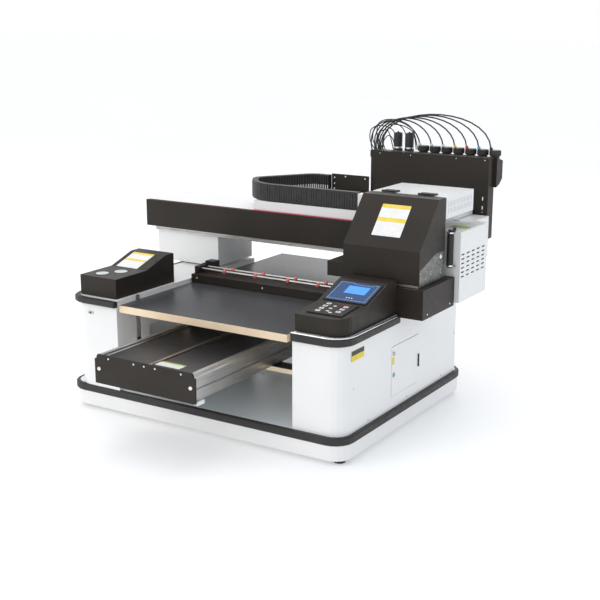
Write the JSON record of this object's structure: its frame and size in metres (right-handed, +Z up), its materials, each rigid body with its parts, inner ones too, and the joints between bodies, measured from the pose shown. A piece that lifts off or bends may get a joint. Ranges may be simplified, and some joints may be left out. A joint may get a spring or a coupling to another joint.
{
  "type": "flatbed uv printer",
  "caption": "Flatbed UV inkjet printer: sliding, lifting bed between two cabinets with consoles, under a fixed gantry with a hooded print carriage, cable chain and ink rack.",
  "frame": {"origin": "on the floor plane under the middle of the machine's overall footprint, at the bottom of its feet", "axes": "+X to the operator's right, +Y to the back, +Z up; the operator stands at -Y"},
  "size_m": [1.45, 1.431, 1.0862],
  "materials": {
    "white_paint": "satin powder coat",
    "black_paint": "satin powder coat",
    "black_rubber": "matt",
    "aluminium": "anodised",
    "steel": "brushed",
    "bed_black": "black anodised plate",
    "display": "glossy",
    "key_white": "matt",
    "button_grey": "matt",
    "tube_black": "matt"
  },
  "bodies": {
    "root": {"base_tray": "white_paint", "base_bumper": "black_rubber", "foot_front_left": "black_rubber", "foot_front_right": "black_rubber", "foot_rear_left": "black_rubber", "foot_rear_right": "black_rubber", "left_cabinet": "white_paint", "left_cabinet_trim": "black_rubber", "left_console": "black_paint", "right_cabinet": "white_paint", "right_cabinet_trim": "black_rubber", "right_console": "black_paint", "display_panel": "display", "keypad_plate": "black_paint", "station_housing": "black_paint", "left_post": "white_paint", "right_post": "white_paint", "beam": "aluminium", "beam_cover": "black_paint", "x_rail": "steel", "top_deck": "white_paint", "rear_housing": "white_paint", "chain_fixed_run": "tube_black", "chain_fixed_bracket": "black_paint", "damper_tube": "black_rubber", "ink_rack": "black_paint", "ink_bottle_row": "tube_black", "ink_tubes": "tube_black", "lift_guide_left": "steel", "lift_guide_right": "steel"},
    "carriage": {"carriage_frame": "steel", "carriage_rear_cover": "white_paint", "hood_hinge_left": "black_paint", "hood_hinge_right": "black_paint", "uv_lamp": "black_paint", "print_head_unit": "aluminium", "chain_moving_run": "tube_black"},
    "hood": {"carriage_hood": "black_paint"},
    "chain_loop": {"chain_bend": "tube_black"},
    "lift": {"lift_crossbeam_front": "aluminium", "lift_crossbeam_rear": "aluminium", "y_module": "aluminium", "y_module_front_plate": "black_paint"},
    "bed_slider": {"bed_carriage": "aluminium", "bed": "bed_black", "rotary_frame": "black_paint"},
    "roller_front": {"rotary_roller_front": "steel"},
    "roller_rear": {"rotary_roller_rear": "steel"},
    "door": {"side_door": "white_paint"},
    "lock": {"door_lock": "steel"},
    "capping": {"capping_unit": "black_rubber"},
    "button_front": {"console_button_front": "button_grey"},
    "button_rear": {"console_button_rear": "button_grey"},
    "key_1_cap": {"key_1": "key_white"},
    "key_2_cap": {"key_2": "key_white"},
    "key_3_cap": {"key_3": "key_white"},
    "key_4_cap": {"key_4": "key_white"},
    "key_5_cap": {"key_5": "key_white"},
    "key_6_cap": {"key_6": "key_white"},
    "key_7_cap": {"key_7": "key_white"}
  },
  "joints": [
    {"name": "carriage_slide", "type": "slide", "parent": "root", "child": "carriage", "axis": [-1, 0, 0], "range_m": [0, 0.7]},
    {"name": "chain_loop_slide", "type": "slide", "parent": "root", "child": "chain_loop", "axis": [-1, 0, 0], "range_m": [0, 0.35], "deforming": ["chain_moving_run"]},
    {"name": "hood_swing", "type": "hinge", "parent": "carriage", "child": "hood", "pos_m": [0.378, 0.177, 0.8435], "axis": [-1, 0, 0], "range_deg": [0, 75]},
    {"name": "bed_lift", "type": "slide", "parent": "root", "child": "lift", "axis": [0, 0, 1], "range_m": [-0.09, 0.015]},
    {"name": "bed_slide", "type": "slide", "parent": "lift", "child": "bed_slider", "axis": [0, 1, 0], "range_m": [-0.36, 0.4]},
    {"name": "front_roller_spin", "type": "hinge", "parent": "bed_slider", "child": "roller_front", "pos_m": [-0.323, 0.0505, 0.4835], "axis": [1, 0, 0], "continuous": true},
    {"name": "rear_roller_spin", "type": "hinge", "parent": "bed_slider", "child": "roller_rear", "pos_m": [-0.323, 0.0905, 0.4835], "axis": [1, 0, 0], "continuous": true},
    {"name": "side_door_swing", "type": "hinge", "parent": "root", "child": "door", "pos_m": [0.6112, 0.1277, 0.237], "axis": [0, 0, 1], "range_deg": [0, 110]},
    {"name": "door_lock_turn", "type": "hinge", "parent": "door", "child": "lock", "pos_m": [0.6112, -0.0665, 0.307], "axis": [1, 0, 0], "range_deg": [0, 90]},
    {"name": "capping_lift", "type": "slide", "parent": "root", "child": "capping", "axis": [0, 0, 1], "range_m": [-0.012, 0]},
    {"name": "front_button_press", "type": "slide", "parent": "root", "child": "button_front", "axis": [0, 0, -1], "range_m": [0, 0.003], "stiffness_N_per_m": 600, "springref_m": -0.001},
    {"name": "rear_button_press", "type": "slide", "parent": "root", "child": "button_rear", "axis": [0, 0, -1], "range_m": [0, 0.003], "stiffness_N_per_m": 600, "springref_m": -0.001},
    {"name": "key_1_press", "type": "slide", "parent": "root", "child": "key_1_cap", "axis": [0, 0.0888, -0.996], "range_m": [0, 0.001], "stiffness_N_per_m": 500, "springref_m": -0.0005},
    {"name": "key_2_press", "type": "slide", "parent": "root", "child": "key_2_cap", "axis": [0, 0.0888, -0.996], "range_m": [0, 0.001], "stiffness_N_per_m": 500, "springref_m": -0.0005},
    {"name": "key_3_press", "type": "slide", "parent": "root", "child": "key_3_cap", "axis": [0, 0.0888, -0.996], "range_m": [0, 0.001], "stiffness_N_per_m": 500, "springref_m": -0.0005},
    {"name": "key_4_press", "type": "slide", "parent": "root", "child": "key_4_cap", "axis": [0, 0.0888, -0.996], "range_m": [0, 0.001], "stiffness_N_per_m": 500, "springref_m": -0.0005},
    {"name": "key_5_press", "type": "slide", "parent": "root", "child": "key_5_cap", "axis": [0, 0.0888, -0.996], "range_m": [0, 0.001], "stiffness_N_per_m": 500, "springref_m": -0.0005},
    {"name": "key_6_press", "type": "slide", "parent": "root", "child": "key_6_cap", "axis": [0, 0.0888, -0.996], "range_m": [0, 0.001], "stiffness_N_per_m": 500, "springref_m": -0.0005},
    {"name": "key_7_press", "type": "slide", "parent": "root", "child": "key_7_cap", "axis": [0, 0.0888, -0.996], "range_m": [0, 0.001], "stiffness_N_per_m": 500, "springref_m": -0.0005}
  ],
  "couplings": [
    {"joint": "chain_loop_slide", "follows": "carriage_slide", "ratio": 0.5},
    {"joint": "rear_roller_spin", "follows": "front_roller_spin", "ratio": 1}
  ]
}
